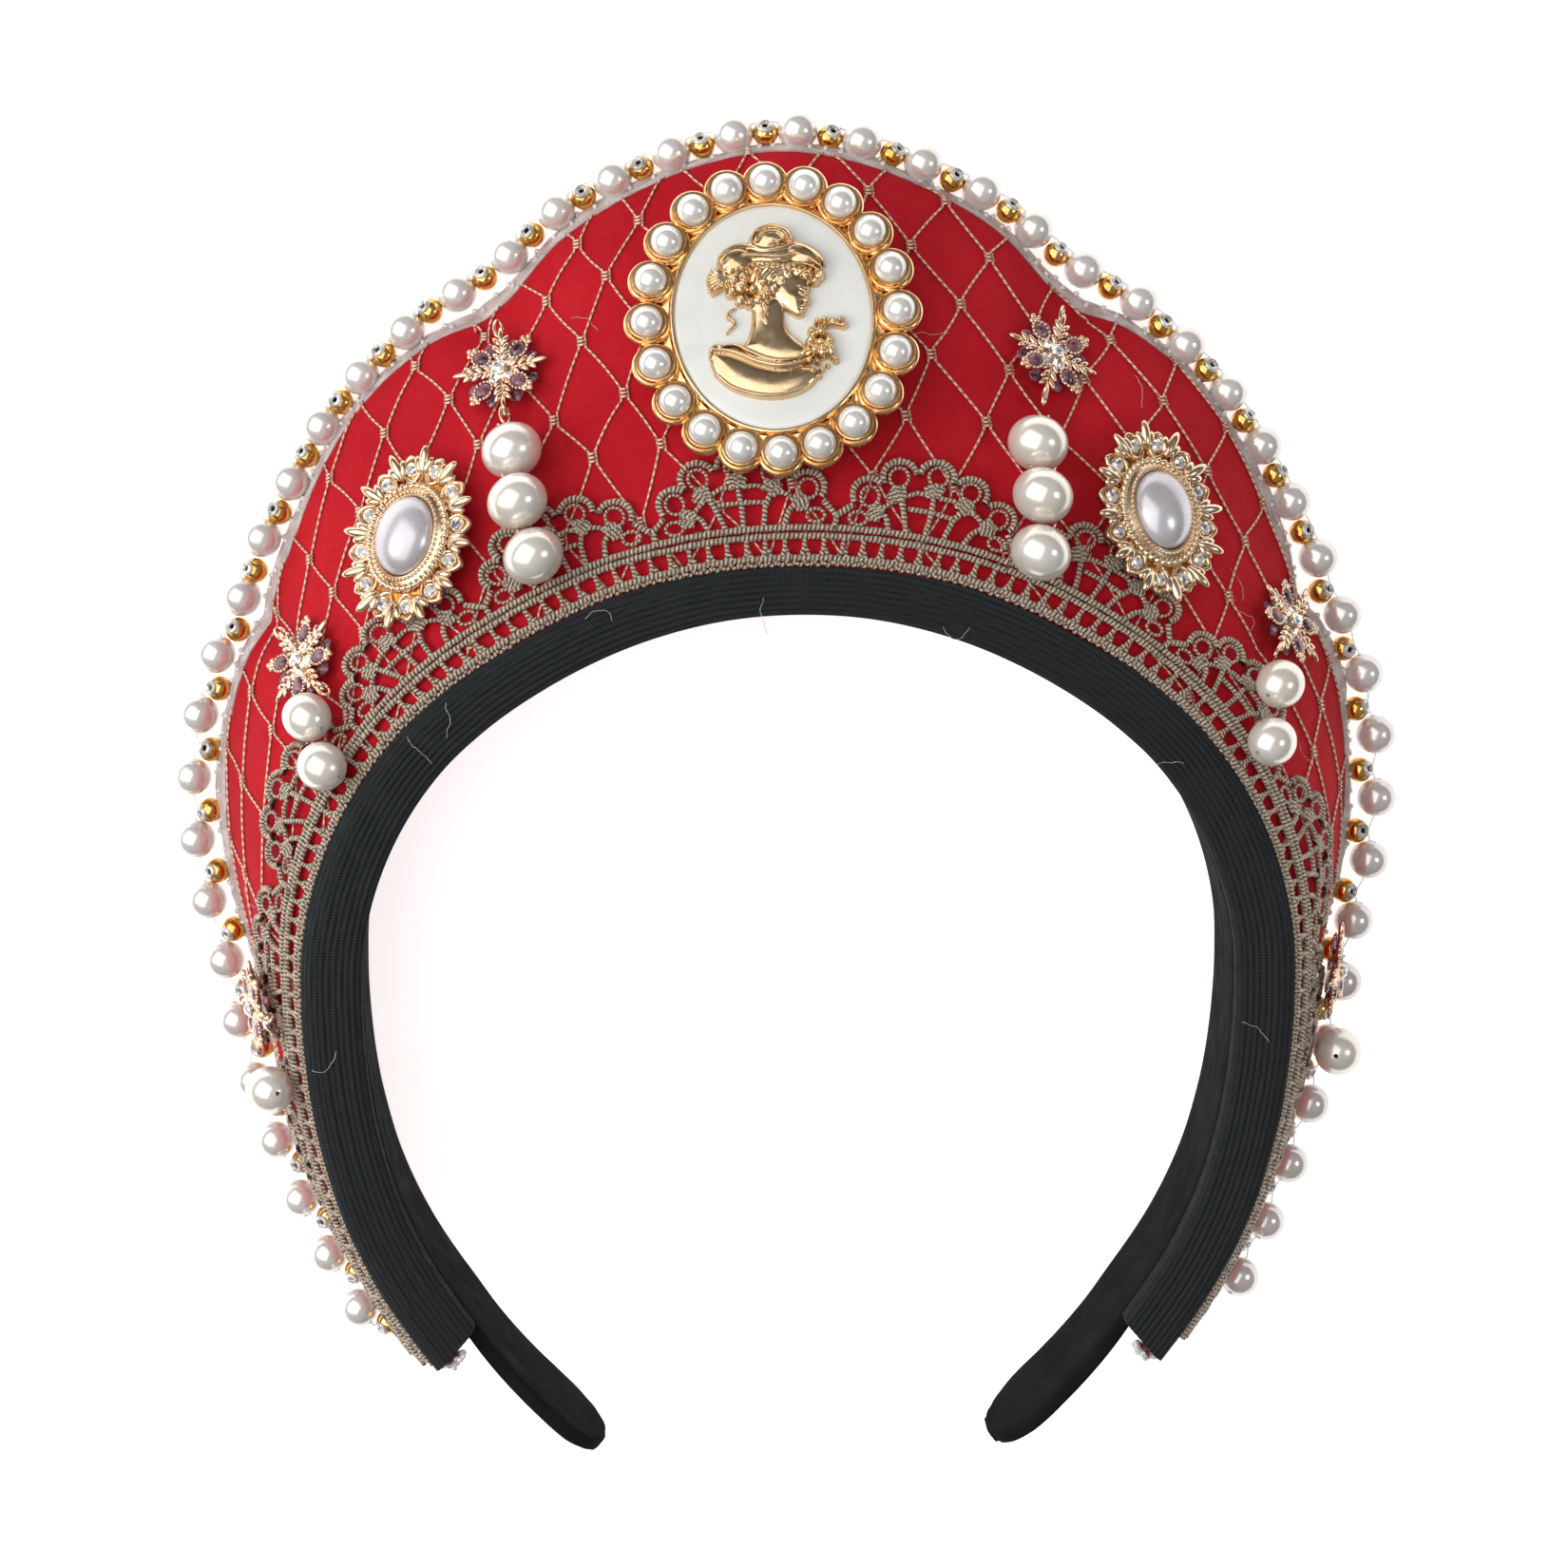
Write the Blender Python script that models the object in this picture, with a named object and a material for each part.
"""French hood: a padded velvet crescent on a satin headband, laced and set with pearls.

The hood lies on its back. X runs across it, Y from the headband's tips to the crown's top,
and Z from the back edge up to the front. Lengths are metres and angles are degrees.
A place on the hood is given by its angle round the arch's middle, where 0 is the right-hand
ear and 90 the crown's top, and by how far it lies outside the hoop.
"""
import bmesh
import bpy
import math
from mathutils import Matrix, Vector

MM = 0.001
GAP = 0.3 * MM

# Headband: a flat strip bent to a hoop
HOOP_HALF_WIDTH = 62.8 * MM
BAND_THICKNESS = 2.3 * MM
BAND_WIDTH = 22.0 * MM
BAND_FRONT = 32.6 * MM
BAND_TIP_LENGTH = 9.0 * MM
BAND_EASE = 0.5 * MM
BAND_STATIONS = 30

# Crown: a padded crescent that leans back from the hoop
FRONT_HEIGHT = 36.0 * MM
CROWN_RISE = 64.0 * MM
CROWN_DEPTH = 31.0 * MM
CROWN_THICKNESS = 4.5 * MM
CROWN_EDGE_RADIUS = 2.5 * MM
CROWN_PUFF = 4.2 * MM
CROWN_TURN = 0.9

# Edge binding: a ribbed ribbon rolled over the front edge
BINDING_WALL = 1.0 * MM
BINDING_LIP = 1.7 * MM

# Lace: one pierced strip of scallops along the binding
LACE_HEIGHT = 16.5 * MM
LACE_THICKNESS = 0.9 * MM
LACE_EASE = 0.55 * MM
LACE_START = 2.2 * MM
LACE_EDGE_MARGIN = 1.2 * MM
LACE_MARGIN_RIGHT = 4.5 * MM
LACE_MARGIN_LEFT = 1.6 * MM
LACE_HALVES = 27

# Beads strung along the back edge
PEARL_RADIUS = 3.0 * MM
GOLD_BEAD_RADIUS = 2.0 * MM
STRING_RADIUS = 0.6 * MM
STRING_DROP = 2.0 * MM
STRING_SWAY = 1.1 * MM
PEARLS_LEFT = 24
PEARLS_RIGHT = 23
STRING_ANGLE_TOP = 89.5
STRING_ANGLE_RIGHT = -40.0
STRING_ANGLE_LEFT = 225.0
BEAD_SIDES = 10

# Cameo brooch
CAMEO_HALF_WIDTH = 18.0 * MM
CAMEO_HALF_HEIGHT = 20.8 * MM
CAMEO_CUPS = 20
CAMEO_CUP_RADIUS = 3.3 * MM
CAMEO_DISH_THICKNESS = 4.2 * MM
CAMEO_RECESS = 2.0 * MM
CAMEO_PEARL_RADIUS = 2.5 * MM
PLATE_HALF_WIDTH = 14.2 * MM
PLATE_HALF_HEIGHT = 17.2 * MM
PLATE_THICKNESS = 1.7 * MM
BUST_WIDTH = 19.6 * MM
BUST_HEIGHT = 26.4 * MM
BUST_RELIEF = 1.6 * MM

# Oval brooches
BROOCH_HALF_WIDTH = 10.2 * MM
BROOCH_HALF_HEIGHT = 13.2 * MM
BROOCH_LEAVES = 12
BROOCH_THICKNESS = 1.8 * MM
BROOCH_COLLAR_WALL = 1.0 * MM
BROOCH_COLLAR_HEIGHT = 1.6 * MM
CABOCHON_HALF_WIDTH = 4.9 * MM
CABOCHON_HALF_HEIGHT = 6.3 * MM
CABOCHON_HEIGHT = 3.4 * MM

# Snowflake charms
CHARM_RADIUS = 7.2 * MM
CHARM_THICKNESS = 2.4 * MM
CHARM_ARMS = 8

# Drop pearls
FRONT_DROP_WIDTH = 8.8 * MM
FRONT_DROP_LENGTH = 7.8 * MM
SIDE_DROP_WIDTH = 7.0 * MM
SIDE_DROP_LENGTH = 7.4 * MM
DROP_RINGS = 5

# Inner face of the hoop: angle, radius as a share of HOOP_HALF_WIDTH
HOOP_SHAPE = (
    (-70.0, 1.322), (-62.0, 1.262), (-54.0, 1.208), (-49.0, 1.176), (-40.0, 1.136),
    (-31.0, 1.098), (-25.0, 1.072), (-14.5, 1.034), (-6.0, 1.013), (0.0, 1.003),
    (9.0, 0.980), (18.0, 0.952), (28.0, 0.916), (35.0, 0.886), (46.5, 0.842),
    (58.0, 0.811), (72.0, 0.788), (90.0, 0.777),
)
HOOP_END = HOOP_SHAPE[0][0]

# Back edge of the crown: angle, reach outside the hoop as a share of CROWN_RISE,
# depth behind the front as a share of CROWN_DEPTH
CROWN_SHAPE = (
    (-50.0, 0.174, 0.36), (-44.0, 0.181, 0.46), (-36.0, 0.190, 0.66), (-28.0, 0.205, 0.83),
    (-20.0, 0.225, 0.95), (-12.0, 0.244, 1.00), (-4.0, 0.265, 1.00), (5.0, 0.332, 1.00),
    (13.0, 0.394, 1.00), (20.0, 0.445, 1.00), (26.0, 0.479, 1.00), (30.1, 0.483, 1.00),
    (33.0, 0.523, 1.00), (38.0, 0.575, 1.00), (45.0, 0.658, 1.00), (52.0, 0.724, 1.00),
    (59.0, 0.756, 1.00), (63.4, 0.747, 1.00), (66.5, 0.774, 1.00), (72.0, 0.860, 1.00),
    (78.0, 0.920, 1.00), (84.0, 0.966, 1.00), (90.0, 0.987, 1.00),
)
CROWN_END = CROWN_SHAPE[0][0]
CUSPS = (30.1, 63.4)

# Route of the bead string: angle, reach outside the crown's edge
STRING_ROUTE = (
    (-50.0, 3.3 * MM), (-36.0, 3.6 * MM), (-20.0, 4.0 * MM), (-4.0, 4.4 * MM), (13.0, 4.2 * MM),
    (26.0, 4.0 * MM), (30.1, 4.9 * MM), (38.0, 4.2 * MM), (45.0, 3.4 * MM), (56.0, 3.3 * MM),
    (63.4, 5.4 * MM), (69.0, 4.4 * MM), (78.0, 3.2 * MM), (90.0, 3.0 * MM),
)

# Outline of the bust, facing right: across as a share of BUST_WIDTH, up as a share of BUST_HEIGHT
BUST_OUTLINE = (
    (0.235, 0.415), (0.285, 0.355), (0.300, 0.300), (0.280, 0.270), (0.365, 0.190),
    (0.310, 0.168), (0.328, 0.145), (0.302, 0.128), (0.315, 0.112), (0.288, 0.090),
    (0.300, 0.055), (0.250, 0.027), (0.135, 0.015), (0.118, -0.095), (0.205, -0.160),
    (0.380, -0.140), (0.500, -0.110), (0.520, -0.200), (0.430, -0.300), (0.255, -0.430),
    (0.000, -0.475), (-0.255, -0.415), (-0.475, -0.265), (-0.330, -0.205), (-0.175, -0.135),
    (-0.130, -0.020), (-0.175, 0.075), (-0.285, 0.120), (-0.325, 0.225), (-0.305, 0.340),
    (-0.235, 0.440), (-0.075, 0.515), (0.100, 0.508),
)

# Stones on the crown: angle, place across it (0 at the binding, 1 at the back edge), turn
CAMEO_PLACE = (92.2, 0.573, 0.0)
BROOCH_PLACES = {"left": (133.5, 0.500, -52.0), "right": (49.9, 0.500, 45.0)}

# Snowflakes: angle, place across the crown, turn, stand-off as a share of CHARM_RADIUS where
# the velvet folds up under one
CHARM_PLACES = {
    "front_left": (117.5, 0.800, -17.0, 0.15), "front_right": (65.9, 0.785, 5.0, 0.15),
    "side_left": (150.9, 0.615, -8.0, -0.06), "side_right": (30.8, 0.770, 8.0, 0.15),
    "rear_left": (188.2, 0.470, 0.0, 0.04), "rear_right": (-6.0, 0.600, 0.0, 0.02),
}

# Drop pearls under each charm: angle, place across the crown
FRONT_DROP_PLACES = {
    "front_left": ((119.8, 0.513), (121.7, 0.348), (123.3, 0.185)),
    "front_right": ((64.6, 0.470), (62.2, 0.307), (59.6, 0.150)),
}
SIDE_DROP_PLACES = {
    "side_left": ((154.6, 0.330), (158.2, 0.140)),
    "side_right": ((27.9, 0.380), (23.5, 0.170)),
    "rear_left": ((195.6, 0.200),),
    "rear_right": ((-14.0, 0.520),),
}


def clear_scene():
    for item in list(bpy.data.objects):
        bpy.data.objects.remove(item, do_unlink=True)
    for group in list(bpy.data.collections):
        bpy.data.collections.remove(group)


def make_material(name, colour, roughness, metallic=0.0):
    material = bpy.data.materials.new(name)
    material.use_nodes = True
    shader = material.node_tree.nodes["Principled BSDF"]
    shader.inputs["Base Color"].default_value = (*colour, 1.0)
    shader.inputs["Roughness"].default_value = roughness
    shader.inputs["Metallic"].default_value = metallic
    return material


def face_outwards(body):
    bmesh.ops.recalc_face_normals(body, faces=body.faces)
    if body.calc_volume(signed=True) < 0.0:
        bmesh.ops.reverse_faces(body, faces=body.faces)


def add_part(name, mesh, material, matrix=None):
    """Put a mesh into the hood as a named part."""
    part = bpy.data.objects.new(name, mesh)
    HOOD.objects.link(part)
    part.parent = ORIGIN
    part.matrix_local = matrix if matrix is not None else Matrix.Identity(4)
    mesh.materials.clear()
    mesh.materials.append(material)
    return part


def fold(angle):
    """The angle on the right-hand half that mirrors this one."""
    return 90.0 - abs(angle - 90.0)


def read(table, angle, column=1, corners=()):
    """A column of a table at an angle, on a curve that is smooth but for the corners."""
    angle = min(max(angle, table[0][0]), table[-1][0])
    upper = next(i for i in range(1, len(table)) if angle <= table[i][0])
    start, end = table[upper - 1], table[upper]
    span = end[0] - start[0]

    def slope(i):
        if i == len(table) - 1:
            return 0.0
        if i == 0 or table[i][0] in corners:
            return (end[column] - start[column]) / span
        before, after = table[i - 1], table[i + 1]
        return (after[column] - before[column]) / (after[0] - before[0])

    t = (angle - start[0]) / span
    ease = t * t * (3.0 - 2.0 * t)
    bend = slope(upper - 1) * t * (1.0 - t) ** 2 - slope(upper) * t * t * (1.0 - t)
    return start[column] * (1.0 - ease) + end[column] * ease + span * bend


def outward(angle):
    return Vector((math.cos(math.radians(angle)), math.sin(math.radians(angle)), 0.0))


def hoop_radius(angle):
    return HOOP_HALF_WIDTH * read(HOOP_SHAPE, fold(angle))


def at_section(angle, place):
    """Turn a section's (reach outside the hoop, height) into a point of the hood."""
    point = outward(angle) * (hoop_radius(angle) + place[0])
    point.z = place[1]
    return point


def crown_edge(angle):
    """Middle of the crown's rounded back edge, in its section."""
    half = fold(angle - CROWN_TURN)
    reach = CROWN_RISE * read(CROWN_SHAPE, half, 1, CUSPS)
    depth = CROWN_DEPTH * read(CROWN_SHAPE, half, 2)
    return Vector((reach - CROWN_EDGE_RADIUS, FRONT_HEIGHT - depth))


def crown_slope(angle):
    """Directions of the crown's section: across it towards the back edge, and out of its face."""
    edge = crown_edge(angle)
    start = BAND_THICKNESS + GAP + CROWN_THICKNESS / 2
    lean = math.atan2(edge.x - start, FRONT_HEIGHT - edge.y)
    return Vector((math.sin(lean), -math.cos(lean))), Vector((math.cos(lean), math.sin(lean)))


def crown_face_ends(angle):
    """Front and back ends of the crown's outer face, in its section."""
    across, out = crown_slope(angle)
    front = Vector((BAND_THICKNESS + GAP + CROWN_THICKNESS * out.x, FRONT_HEIGHT))
    return front, crown_edge(angle) + out * CROWN_EDGE_RADIUS


def crown_width(angle):
    front, back = crown_face_ends(angle)
    return (back - front).length


def crown_puff(angle, share):
    """How far the padding stands above a flat face, fullest where the crown is widest."""
    fullness = CROWN_PUFF * crown_width(angle) / crown_width(90.0)
    return fullness * 4.0 * share * (1.0 - share)


def on_face(angle, share, lift=0.0):
    """A section's point on the crown's outer face, lifted off it."""
    front, back = crown_face_ends(angle)
    out = crown_slope(angle)[1]
    return front.lerp(back, share) + out * (crown_puff(angle, share) + lift)


def crown_point(angle, share, lift=0.0):
    return at_section(angle, on_face(angle, share, lift))


def clear_of_lace(angle, share, reach):
    """Height of a piece's base: on the velvet, or on the lace where the piece reaches it."""
    lace_end = LACE_START + LACE_HEIGHT
    over_lace = share * crown_width(angle) - reach < lace_end
    return LACE_EASE + LACE_THICKNESS + GAP if over_lace else GAP


def seat(angle, share, turn, lift):
    """Frame on the crown's face: Y points to the back edge, Z out of the face."""
    step = 0.01
    point = crown_point(angle, share, lift)
    along = crown_point(angle - 1.0, share) - crown_point(angle + 1.0, share)
    up = crown_point(angle, share + step) - crown_point(angle, share - step)
    out = along.cross(up).normalized()
    up = (up - out * up.dot(out)).normalized()
    frame = Matrix((up.cross(out), up, out)).transposed().to_4x4()
    return Matrix.Translation(point) @ frame @ Matrix.Rotation(math.radians(turn), 4, "Z")


def loft(name, rings, material):
    """A closed skin over rings of points, capped at both ends."""
    mesh = bpy.data.meshes.new(name)
    body = bmesh.new()
    rows = [[body.verts.new(point) for point in ring] for ring in rings]
    for row, after in zip(rows, rows[1:]):
        for i, vert in enumerate(row):
            j = (i + 1) % len(row)
            body.faces.new((vert, row[j], after[j], after[i]))
    body.faces.new(rows[0])
    body.faces.new(list(reversed(rows[-1])))
    face_outwards(body)
    body.to_mesh(mesh)
    body.free()
    part = add_part(name, mesh, material)
    mesh.shade_smooth()
    mesh.set_sharp_from_angle(angle=math.radians(50))
    return part


def outline_mesh(name, loops, thickness=0.0):
    """A flat outline, with holes where a loop lies inside another; its base is at Z 0."""
    curve = bpy.data.curves.new(name, "CURVE")
    curve.dimensions = "2D"
    curve.fill_mode = "BOTH" if thickness else "FRONT"
    curve.extrude = thickness / 2
    for loop in loops:
        spline = curve.splines.new("POLY")
        spline.points.add(len(loop) - 1)
        for point, place in zip(spline.points, loop):
            point.co = (place[0], place[1], 0.0, 1.0)
        spline.use_cyclic_u = True
    flat = bpy.data.objects.new(name, curve)
    bpy.context.scene.collection.objects.link(flat)
    bpy.context.view_layer.update()
    mesh = bpy.data.meshes.new_from_object(flat.evaluated_get(bpy.context.evaluated_depsgraph_get()))
    bpy.data.objects.remove(flat, do_unlink=True)
    body = bmesh.new()
    body.from_mesh(mesh)
    bmesh.ops.remove_doubles(body, verts=body.verts, dist=0.001 * MM)
    bmesh.ops.translate(body, verts=body.verts, vec=(0.0, 0.0, thickness / 2))
    bmesh.ops.recalc_face_normals(body, faces=body.faces)
    body.to_mesh(mesh)
    body.free()
    mesh.name = name
    return mesh


def oval(half_width, half_height, count):
    turns = [2.0 * math.pi * (i + 0.5) / count for i in range(count)]
    return [(half_width * math.cos(turn), half_height * math.sin(turn)) for turn in turns]


def dome_mesh(name, half_width, half_height, height, sides, rings):
    """An oval dome with a flat base."""
    mesh = bpy.data.meshes.new(name)
    body = bmesh.new()
    rows = []
    for level in range(rings):
        tilt = 0.5 * math.pi * level / rings
        loop = oval(half_width * math.cos(tilt), half_height * math.cos(tilt), sides)
        rows.append([body.verts.new((x, y, height * math.sin(tilt))) for x, y in loop])
    top = body.verts.new((0.0, 0.0, height))
    for row, after in zip(rows, rows[1:]):
        for i, vert in enumerate(row):
            j = (i + 1) % sides
            body.faces.new((vert, row[j], after[j], after[i]))
    for i, vert in enumerate(rows[-1]):
        body.faces.new((vert, rows[-1][(i + 1) % sides], top))
    body.faces.new(list(reversed(rows[0])))
    body.to_mesh(mesh)
    body.free()
    mesh.shade_smooth()
    mesh.set_sharp_from_angle(angle=math.radians(60))
    return mesh


def apply_cut(part, cutter, operation):
    """Cut or join a part with another body, which is kept as a hidden cutter."""
    CUTTERS.objects.link(cutter)
    cutter.parent = ORIGIN
    cutter.hide_render = True
    cutter.display_type = "WIRE"
    join = part.modifiers.new(operation.lower(), "BOOLEAN")
    join.operation = operation
    join.solver = "EXACT"
    join.object = cutter


def band_point(angle):
    return outward(angle) * hoop_radius(angle)


def build_headband():
    """The strip keeps one width up to its tips, which are rounded in their last stretch."""
    first, last = HOOP_END, 180.0 - HOOP_END
    step = 0.2
    count = round((last - first) / step)
    angles = [first + (last - first) * i / count for i in range(count + 1)]
    points = [band_point(angle) for angle in angles]
    lengths = [0.0]
    for before, after in zip(points, points[1:]):
        lengths.append(lengths[-1] + (after - before).length)
    total = lengths[-1]
    tips = [BAND_TIP_LENGTH * share for share in (0.0, 0.06, 0.25, 0.6)]
    middle = BAND_STATIONS - 2 * len(tips)
    free = total - 2 * BAND_TIP_LENGTH
    places = tips + [BAND_TIP_LENGTH + free * i / (middle - 1) for i in range(middle)]
    places += [total - tip for tip in reversed(tips)]
    rings = []
    for place in places:
        i = max(1, min(len(lengths) - 2, next(k for k, s in enumerate(lengths) if s >= place - 1e-9)))
        along = (points[i + 1] - points[i - 1]).normalized()
        out = along.cross(Vector((0.0, 0.0, 1.0)))
        share = min(1.0, min(place, total - place) / BAND_TIP_LENGTH)
        half = BAND_WIDTH / 2 * max(0.3, math.sqrt(1.0 - (1.0 - share) ** 2))
        middle_height = BAND_FRONT - BAND_WIDTH / 2
        base = Vector(points[i])
        corners = (
            (0.0, BAND_EASE - half), (0.0, half - BAND_EASE), (BAND_THICKNESS / 2, half),
            (BAND_THICKNESS, half - BAND_EASE), (BAND_THICKNESS, BAND_EASE - half),
            (BAND_THICKNESS / 2, -half),
        )
        rings.append([base + out * reach + Vector((0.0, 0.0, middle_height + rise)) for reach, rise in corners])
    return loft("headband", rings, SATIN)


def crown_angles():
    """Stations of the crown: the rows of its table on both sides, turned with it."""
    right = [row[0] for row in CROWN_SHAPE]
    both = right + [180.0 - angle for angle in reversed(right[:-1])]
    inner = [angle + CROWN_TURN for angle in both[1:-1]]
    return [both[0]] + inner + [both[-1]]


def build_crown():
    rings = []
    for angle in crown_angles():
        across, out = crown_slope(angle)
        edge = crown_edge(angle)
        front = Vector((BAND_THICKNESS + GAP, FRONT_HEIGHT - CROWN_THICKNESS * out.y))
        round_edge = [out, (out + across).normalized(), across, -out]
        section = [on_face(angle, share) for share in (0.0, 0.22, 0.5, 0.78)]
        section += [edge + way * CROWN_EDGE_RADIUS for way in round_edge]
        section += [section[-1].lerp(front, 0.5), front]
        rings.append([at_section(angle, place) for place in section])
    return loft("crown", rings, VELVET)


def build_binding():
    """The ribbon's inner edge meets the headband, and its outer edge lies on the velvet."""
    rings = []
    for angle in crown_angles():
        out = crown_slope(angle)[1]
        front = crown_face_ends(angle)[0]
        lip = BINDING_LIP / crown_width(angle)
        top = FRONT_HEIGHT + GAP + BINDING_WALL
        foot = BAND_FRONT + GAP
        section = [
            (0.0, foot), (0.0, top - BINDING_WALL), (BINDING_WALL, top), (front.x, top),
            front + out * (GAP + BINDING_WALL), on_face(angle, lip, GAP + BINDING_WALL),
            on_face(angle, lip, GAP), (front.x + GAP, FRONT_HEIGHT + GAP),
            (BINDING_WALL, FRONT_HEIGHT + GAP), (BINDING_WALL, foot),
        ]
        rings.append([at_section(angle, place) for place in section])
    return loft("edge_binding", rings, RIBBON)


# Half a scallop of the lace: across as a share of its pitch, up as a share of LACE_HEIGHT
SCALLOP_OUTLINE = (
    (0.00, 0.00), (0.25, 0.00), (0.50, 0.00), (0.50, 0.44), (0.35, 0.44), (0.32, 0.74),
    (0.50, 0.88), (0.50, 1.00), (0.29, 0.93), (0.20, 0.72), (0.07, 0.66), (0.00, 0.43),
)
SCALLOP_HOLES = (
    ((0.06, 0.10), (0.25, 0.10), (0.44, 0.10), (0.44, 0.24), (0.25, 0.24), (0.06, 0.24)),
    ((0.07, 0.42), (0.24, 0.40), (0.27, 0.60), (0.11, 0.57)),
)


def lace_samples():
    """Angles along the lace's lower edge, with the length from the crown's right end to each."""
    count = 300
    angles = [CROWN_END + (180.0 - 2.0 * CROWN_END) * i / count for i in range(count + 1)]
    points = [crown_point(angle, (LACE_START + LACE_HEIGHT / 4) / crown_width(angle)) for angle in angles]
    lengths = [0.0]
    for before, after in zip(points, points[1:]):
        lengths.append(lengths[-1] + (after - before).length)
    return angles, lengths


def lace_point(samples, place, lift):
    """A point of the flat lace, laid on the crown; it is drawn in where the crown is narrow."""
    room = samples[1][-1] - LACE_MARGIN_RIGHT - LACE_MARGIN_LEFT
    angle = angle_at(samples, LACE_MARGIN_RIGHT + room * place[0])
    width = crown_width(angle)
    reach = LACE_START + min(LACE_HEIGHT, width - LACE_START - LACE_EDGE_MARGIN) * place[1]
    return crown_point(angle, reach / width, lift)


def build_lace():
    """Mirrored halves of scallops, joined in one strip and bent to the crown."""
    half = outline_mesh("scallop", (SCALLOP_OUTLINE,) + SCALLOP_HOLES)
    samples = lace_samples()
    body = bmesh.new()
    for count in range(LACE_HALVES):
        body.from_mesh(half)
        for vert in [vert for vert in body.verts if not vert.tag]:
            vert.co.x = count / 2 + (vert.co.x if count % 2 else 0.5 - vert.co.x)
            vert.tag = True
    bpy.data.meshes.remove(half)
    bmesh.ops.remove_doubles(body, verts=body.verts, dist=0.001)
    bmesh.ops.recalc_face_normals(body, faces=body.faces)
    thick = bmesh.ops.extrude_face_region(body, geom=body.faces[:])
    raised = [item for item in thick["geom"] if isinstance(item, bmesh.types.BMVert)]
    bmesh.ops.translate(body, verts=raised, vec=(0.0, 0.0, 1.0))
    for vert in body.verts:
        place = (2.0 * vert.co.x / LACE_HALVES, vert.co.y)
        vert.co = lace_point(samples, place, LACE_EASE + LACE_THICKNESS * vert.co.z)
    face_outwards(body)
    mesh = bpy.data.meshes.new("lace_trim")
    body.to_mesh(mesh)
    body.free()
    return add_part("lace_trim", mesh, METALLIC_THREAD)


def string_point(angle, sway=0.0):
    """Middle of the bead string at an angle, swayed outwards."""
    edge = crown_edge(angle)
    reach = read(STRING_ROUTE, fold(angle - CROWN_TURN))
    return at_section(angle, (edge.x + CROWN_EDGE_RADIUS + reach + sway, edge.y - STRING_DROP))


def string_samples(start, end):
    """Angles along the string's route, with the length from its start to each."""
    count = 400
    angles = [start + (end - start) * i / count for i in range(count + 1)]
    lengths = [0.0]
    for before, after in zip(angles, angles[1:]):
        lengths.append(lengths[-1] + (string_point(after) - string_point(before)).length)
    return angles, lengths


def angle_at(samples, length):
    angles, lengths = samples
    i = next((k for k in range(1, len(lengths)) if lengths[k] >= length), len(lengths) - 1)
    share = (length - lengths[i - 1]) / (lengths[i] - lengths[i - 1])
    return angles[i - 1] + (angles[i] - angles[i - 1]) * share


def sway_at(angle):
    """The beads zigzag at the sides, where the string is slack."""
    return STRING_SWAY * min(1.0, max(0.0, (40.0 - fold(angle)) / 25.0))


def bead_rings(samples, middle, radius, side, stations):
    """Rings of one bead: its place on the string, its radius and where it sways."""
    angle = angle_at(samples, middle)
    step = math.copysign(0.5, samples[0][-1] - samples[0][0])
    centre = string_point(angle, side * sway_at(angle))
    along = (string_point(angle + step) - string_point(angle - step)).normalized()
    out = along.cross(Vector((0.0, 0.0, 1.0))).normalized()
    up = out.cross(along)
    rings = []
    for reach, width in stations:
        ring = []
        for i in range(BEAD_SIDES):
            turn = 2.0 * math.pi * i / BEAD_SIDES
            way = out * math.sin(turn) - up * math.cos(turn)
            ring.append(centre + along * radius * reach + way * width)
        rings.append(ring)
    return rings


def build_string(name, end, first, last):
    """Beads from the crown's top to one end, fused at the thread: even ones are pearls, odd ones gold."""
    samples = string_samples(STRING_ANGLE_TOP, end)
    pitch = samples[1][-1] / last
    pearl = ((-0.97, STRING_RADIUS), (-0.38, PEARL_RADIUS * 0.98),
             (0.38, PEARL_RADIUS * 0.98), (0.97, STRING_RADIUS))
    gold = ((0.0, GOLD_BEAD_RADIUS),)
    rings = []
    for count in range(first, last + 1):
        is_pearl = count % 2 == 0
        stations = pearl if is_pearl else gold
        if count == first and not is_pearl:
            stations = ((-0.7, STRING_RADIUS),) + stations
        if count == last and not is_pearl:
            stations = stations + ((0.7, STRING_RADIUS),)
        radius = PEARL_RADIUS if is_pearl else GOLD_BEAD_RADIUS
        rings += bead_rings(samples, pitch * count, radius, 1.0 if is_pearl else -1.0, stations)
    return loft(name, rings, PEARL)


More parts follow.
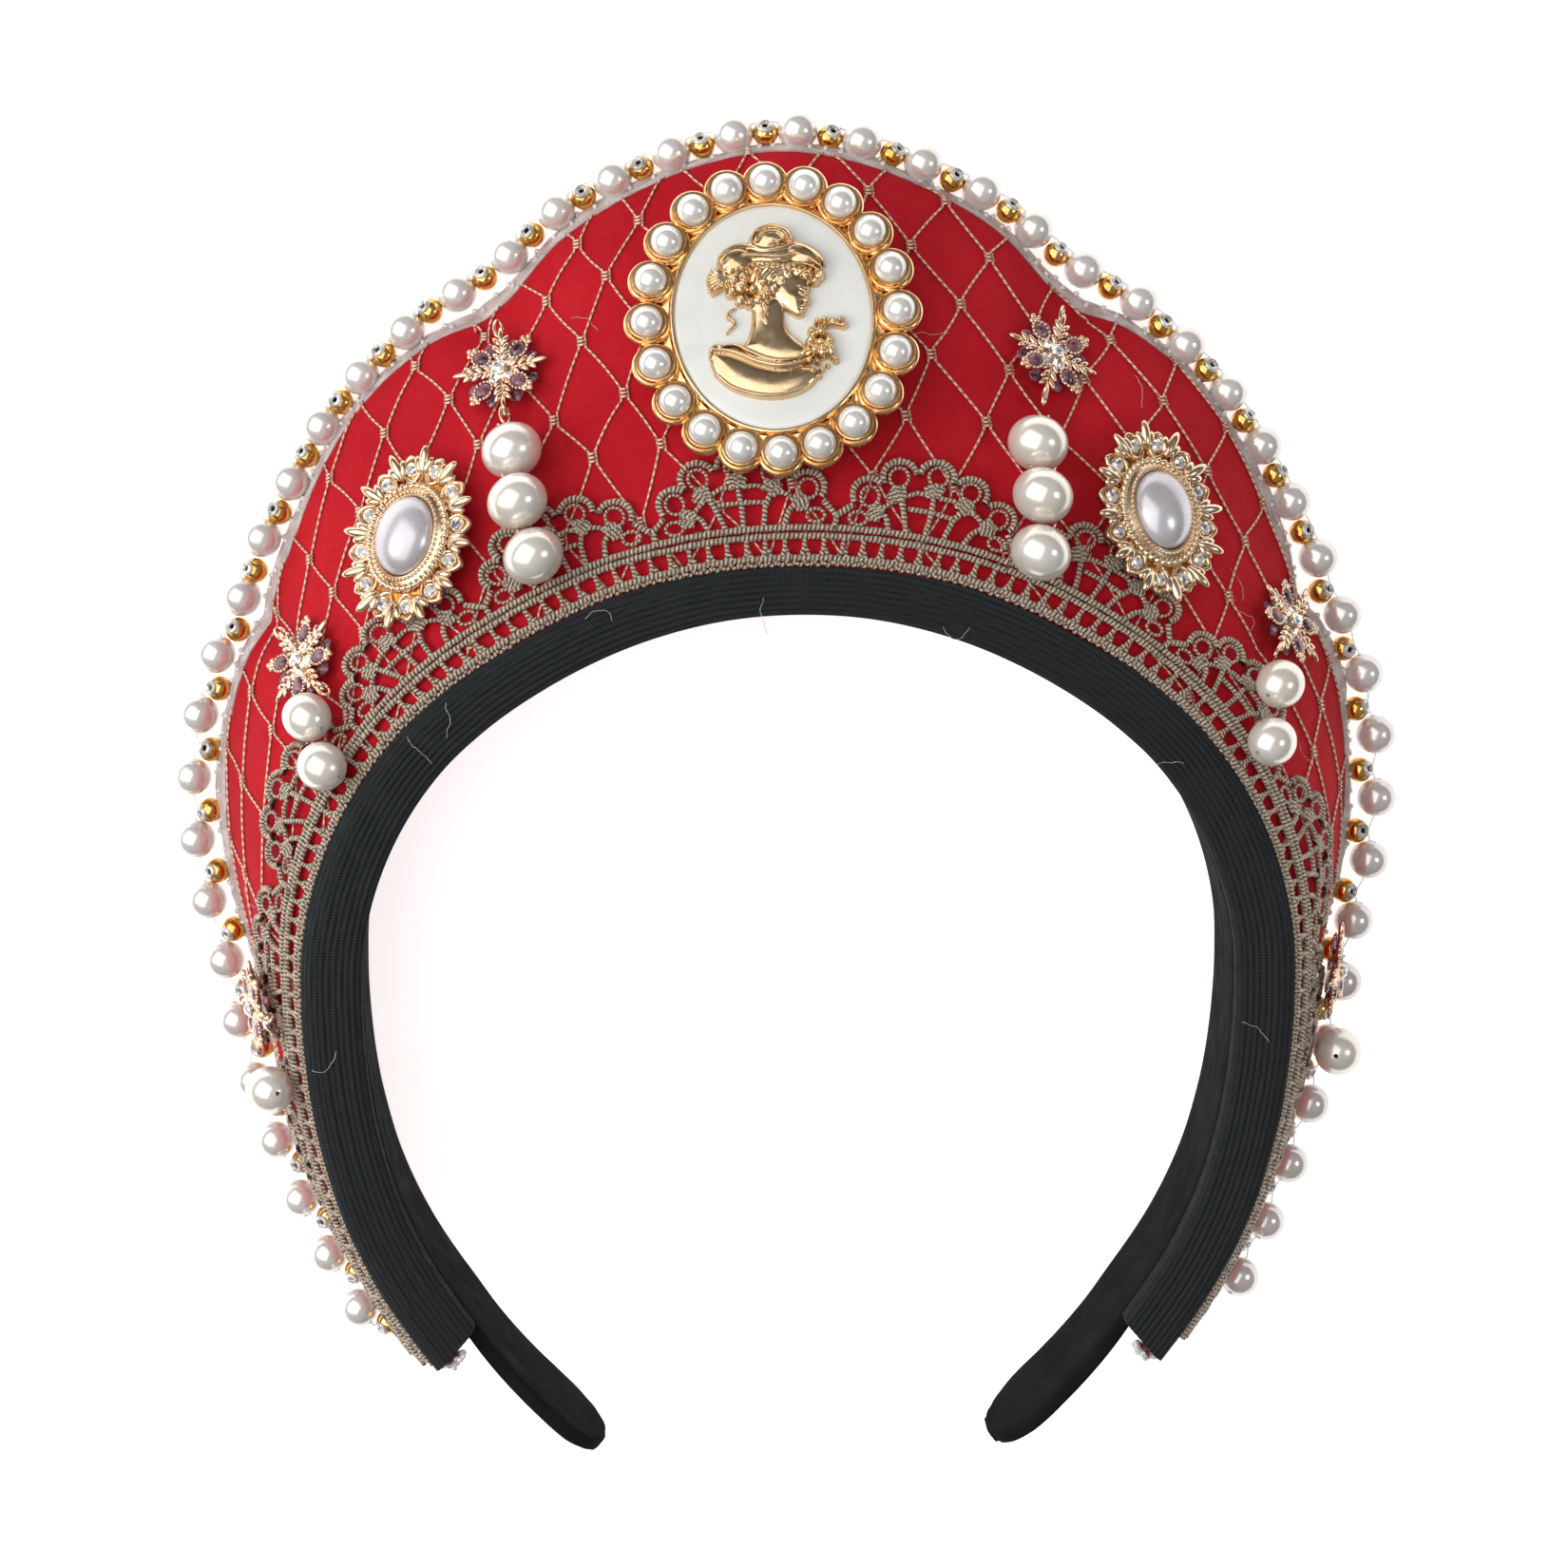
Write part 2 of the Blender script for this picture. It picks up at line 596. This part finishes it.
def build_cameo():
    """A gilt dish with a ring of cups, a white plate let into it, and a bust in relief."""
    frame = seat(*CAMEO_PLACE, GAP)
    outline = []
    for i in range(CAMEO_CUPS):
        turn = 2.0 * math.pi * i / CAMEO_CUPS
        x = CAMEO_HALF_WIDTH * math.cos(turn)
        y = CAMEO_HALF_HEIGHT * math.sin(turn)
        for spread in (-0.7, 0.0, 0.7):
            way = turn + spread
            outline.append((x + CAMEO_CUP_RADIUS * math.cos(way), y + CAMEO_CUP_RADIUS * math.sin(way)))
    dish = add_part("cameo_frame", outline_mesh("cameo_frame", (outline,), CAMEO_DISH_THICKNESS),
                    GILT, frame)
    floor_height = CAMEO_DISH_THICKNESS - CAMEO_RECESS
    recess = oval(PLATE_HALF_WIDTH + GAP, PLATE_HALF_HEIGHT + GAP, 32)
    cutter_mesh = outline_mesh("recess_cutter", (recess,), CAMEO_RECESS * 2)
    cutter = bpy.data.objects.new("recess_cutter", cutter_mesh)
    apply_cut(dish, cutter, "DIFFERENCE")
    cutter.matrix_local = frame @ Matrix.Translation((0.0, 0.0, floor_height))
    plate = outline_mesh("cameo_plate", (oval(PLATE_HALF_WIDTH, PLATE_HALF_HEIGHT, 32),),
                         PLATE_THICKNESS)
    add_part("cameo_plate", plate, ENAMEL, frame @ Matrix.Translation((0.0, 0.0, floor_height + GAP)))
    outline = [(BUST_WIDTH * x, BUST_HEIGHT * y) for x, y in BUST_OUTLINE]
    bust = outline_mesh("cameo_bust", (outline,), BUST_RELIEF)
    height = floor_height + GAP + PLATE_THICKNESS + GAP
    add_part("cameo_bust", bust, GILT, frame @ Matrix.Translation((0.0, 0.0, height)))
    height = CAMEO_DISH_THICKNESS + GAP
    for i in range(CAMEO_CUPS):
        turn = 2.0 * math.pi * i / CAMEO_CUPS
        place = (CAMEO_HALF_WIDTH * math.cos(turn), CAMEO_HALF_HEIGHT * math.sin(turn), height)
        name = f"cameo_pearl_{i + 1:02d}"
        dome = dome_mesh(name, CAMEO_PEARL_RADIUS, CAMEO_PEARL_RADIUS, CAMEO_PEARL_RADIUS,
                         BEAD_SIDES, 2)
        add_part(name, dome, PEARL, frame @ Matrix.Translation(place))


def build_brooch(side):
    """A leafy oval plate with a collar, which holds a pearl cabochon."""
    angle, share, turn = BROOCH_PLACES[side]
    frame = seat(angle, share, turn, clear_of_lace(angle, share, BROOCH_HALF_HEIGHT))
    outline = []
    for i in range(BROOCH_LEAVES):
        for share, reach in ((0.0, 1.0), (0.22, 0.88), (0.5, 0.80), (0.78, 0.88)):
            turn = 2.0 * math.pi * (i + share) / BROOCH_LEAVES
            outline.append((BROOCH_HALF_WIDTH * reach * math.cos(turn),
                            BROOCH_HALF_HEIGHT * reach * math.sin(turn)))
    plate = add_part(f"brooch_frame_{side}",
                     outline_mesh("brooch_frame", (outline,), BROOCH_THICKNESS), GILT, frame)
    inner = oval(CABOCHON_HALF_WIDTH + GAP, CABOCHON_HALF_HEIGHT + GAP, 16)
    outer = oval(CABOCHON_HALF_WIDTH + GAP + BROOCH_COLLAR_WALL,
                 CABOCHON_HALF_HEIGHT + GAP + BROOCH_COLLAR_WALL, 16)
    collar_mesh = outline_mesh("collar_cutter", (outer, inner), BROOCH_COLLAR_HEIGHT + BROOCH_THICKNESS / 2)
    collar = bpy.data.objects.new(f"collar_{side}", collar_mesh)
    apply_cut(plate, collar, "UNION")
    collar.matrix_local = frame @ Matrix.Translation((0.0, 0.0, BROOCH_THICKNESS / 2))
    stone = dome_mesh("brooch_cabochon", CABOCHON_HALF_WIDTH, CABOCHON_HALF_HEIGHT,
                      CABOCHON_HEIGHT, 16, 3)
    add_part(f"brooch_cabochon_{side}", stone, PEARL,
             frame @ Matrix.Translation((0.0, 0.0, BROOCH_THICKNESS + GAP)))


def build_charm(name, place):
    """A snowflake of eight arms: slim leafy ones, and between them broad ones with a stone each."""
    outline = []
    for i in range(CHARM_ARMS):
        slim = ((0.0, 1.0), (0.14, 0.76), (0.44, 0.36), (0.76, 0.72))
        broad = ((0.0, 0.96), (0.24, 0.72), (0.56, 0.36), (0.86, 0.76))
        for share, reach in slim if i % 2 == 0 else broad:
            turn = 2.0 * math.pi * (i + share) / CHARM_ARMS
            outline.append((CHARM_RADIUS * reach * math.cos(turn),
                            CHARM_RADIUS * reach * math.sin(turn)))
    angle, share, turn, stand_off = place
    lift = clear_of_lace(angle, share, CHARM_RADIUS) + stand_off * CHARM_RADIUS
    return add_part(f"snowflake_{name}", outline_mesh("snowflake", (outline,), CHARM_THICKNESS),
                    ROSE_GOLD, seat(angle, share, turn, lift))


def build_drop(name, place, width, length):
    """A pearl bead that lies on the crown, a little longer or flatter than a ball."""
    angle, share = place
    lift = clear_of_lace(angle, share, length / 2) + width / 2
    mesh = bpy.data.meshes.new(name)
    body = bmesh.new()
    bmesh.ops.create_uvsphere(body, u_segments=BEAD_SIDES, v_segments=DROP_RINGS, radius=0.5)
    body.to_mesh(mesh)
    body.free()
    mesh.transform(Matrix.Rotation(math.radians(90), 4, "X"))
    mesh.transform(Matrix.Diagonal((width, length, width, 1.0)))
    mesh.shade_smooth()
    return add_part(name, mesh, PEARL, seat(angle, share, 0.0, lift))


def centre_on_bed():
    """Move the hood so that its box stands on Z 0 with its middle at X 0 and Y 0."""
    bpy.context.view_layer.update()
    shapes = bpy.context.evaluated_depsgraph_get()
    corners = []
    for part in HOOD.objects:
        shape = part.evaluated_get(shapes)
        corners += [part.matrix_world @ Vector(corner) for corner in shape.bound_box]
    low = [min(corner[i] for corner in corners) for i in range(3)]
    high = [max(corner[i] for corner in corners) for i in range(3)]
    ORIGIN.location = (-(low[0] + high[0]) / 2, -(low[1] + high[1]) / 2, -low[2])
    bpy.context.view_layer.update()


clear_scene()
HOOD = bpy.data.collections.new("french_hood")
CUTTERS = bpy.data.collections.new("cutters")
bpy.context.scene.collection.children.link(HOOD)
bpy.context.scene.collection.children.link(CUTTERS)
ORIGIN = bpy.data.objects.new("hood_origin", None)
bpy.context.scene.collection.objects.link(ORIGIN)

SATIN = make_material("black_satin", (0.013, 0.014, 0.014), 0.5)
RIBBON = make_material("black_ribbed_elastic", (0.013, 0.015, 0.015), 0.7)
VELVET = make_material("crimson_velvet", (0.46, 0.007, 0.013), 0.9)
METALLIC_THREAD = make_material("champagne_metallic_thread", (0.43, 0.36, 0.22), 0.45, 0.6)
PEARL = make_material("ivory_pearl", (0.84, 0.80, 0.76), 0.2)
GILT = make_material("champagne_gilt", (0.77, 0.53, 0.26), 0.2, 1.0)
ROSE_GOLD = make_material("rose_gold", (0.80, 0.50, 0.35), 0.25, 1.0)
ENAMEL = make_material("white_enamel", (0.87, 0.88, 0.83), 0.3)

build_headband()
build_crown()
build_binding()
build_lace()
build_string("pearl_string_right", STRING_ANGLE_RIGHT, 1, 2 * PEARLS_RIGHT)
build_string("pearl_string_left", STRING_ANGLE_LEFT, 0, 2 * PEARLS_LEFT + 1)
build_cameo()
for brooch_side in BROOCH_PLACES:
    build_brooch(brooch_side)
for charm_name, charm_place in CHARM_PLACES.items():
    build_charm(charm_name, charm_place)
for group, places in FRONT_DROP_PLACES.items():
    for number, drop_place in enumerate(places, 1):
        build_drop(f"drop_pearl_{group}_{number}", drop_place, FRONT_DROP_WIDTH, FRONT_DROP_LENGTH)
for group, places in SIDE_DROP_PLACES.items():
    for number, drop_place in enumerate(places, 1):
        build_drop(f"drop_pearl_{group}_{number}", drop_place, SIDE_DROP_WIDTH, SIDE_DROP_LENGTH)
centre_on_bed()
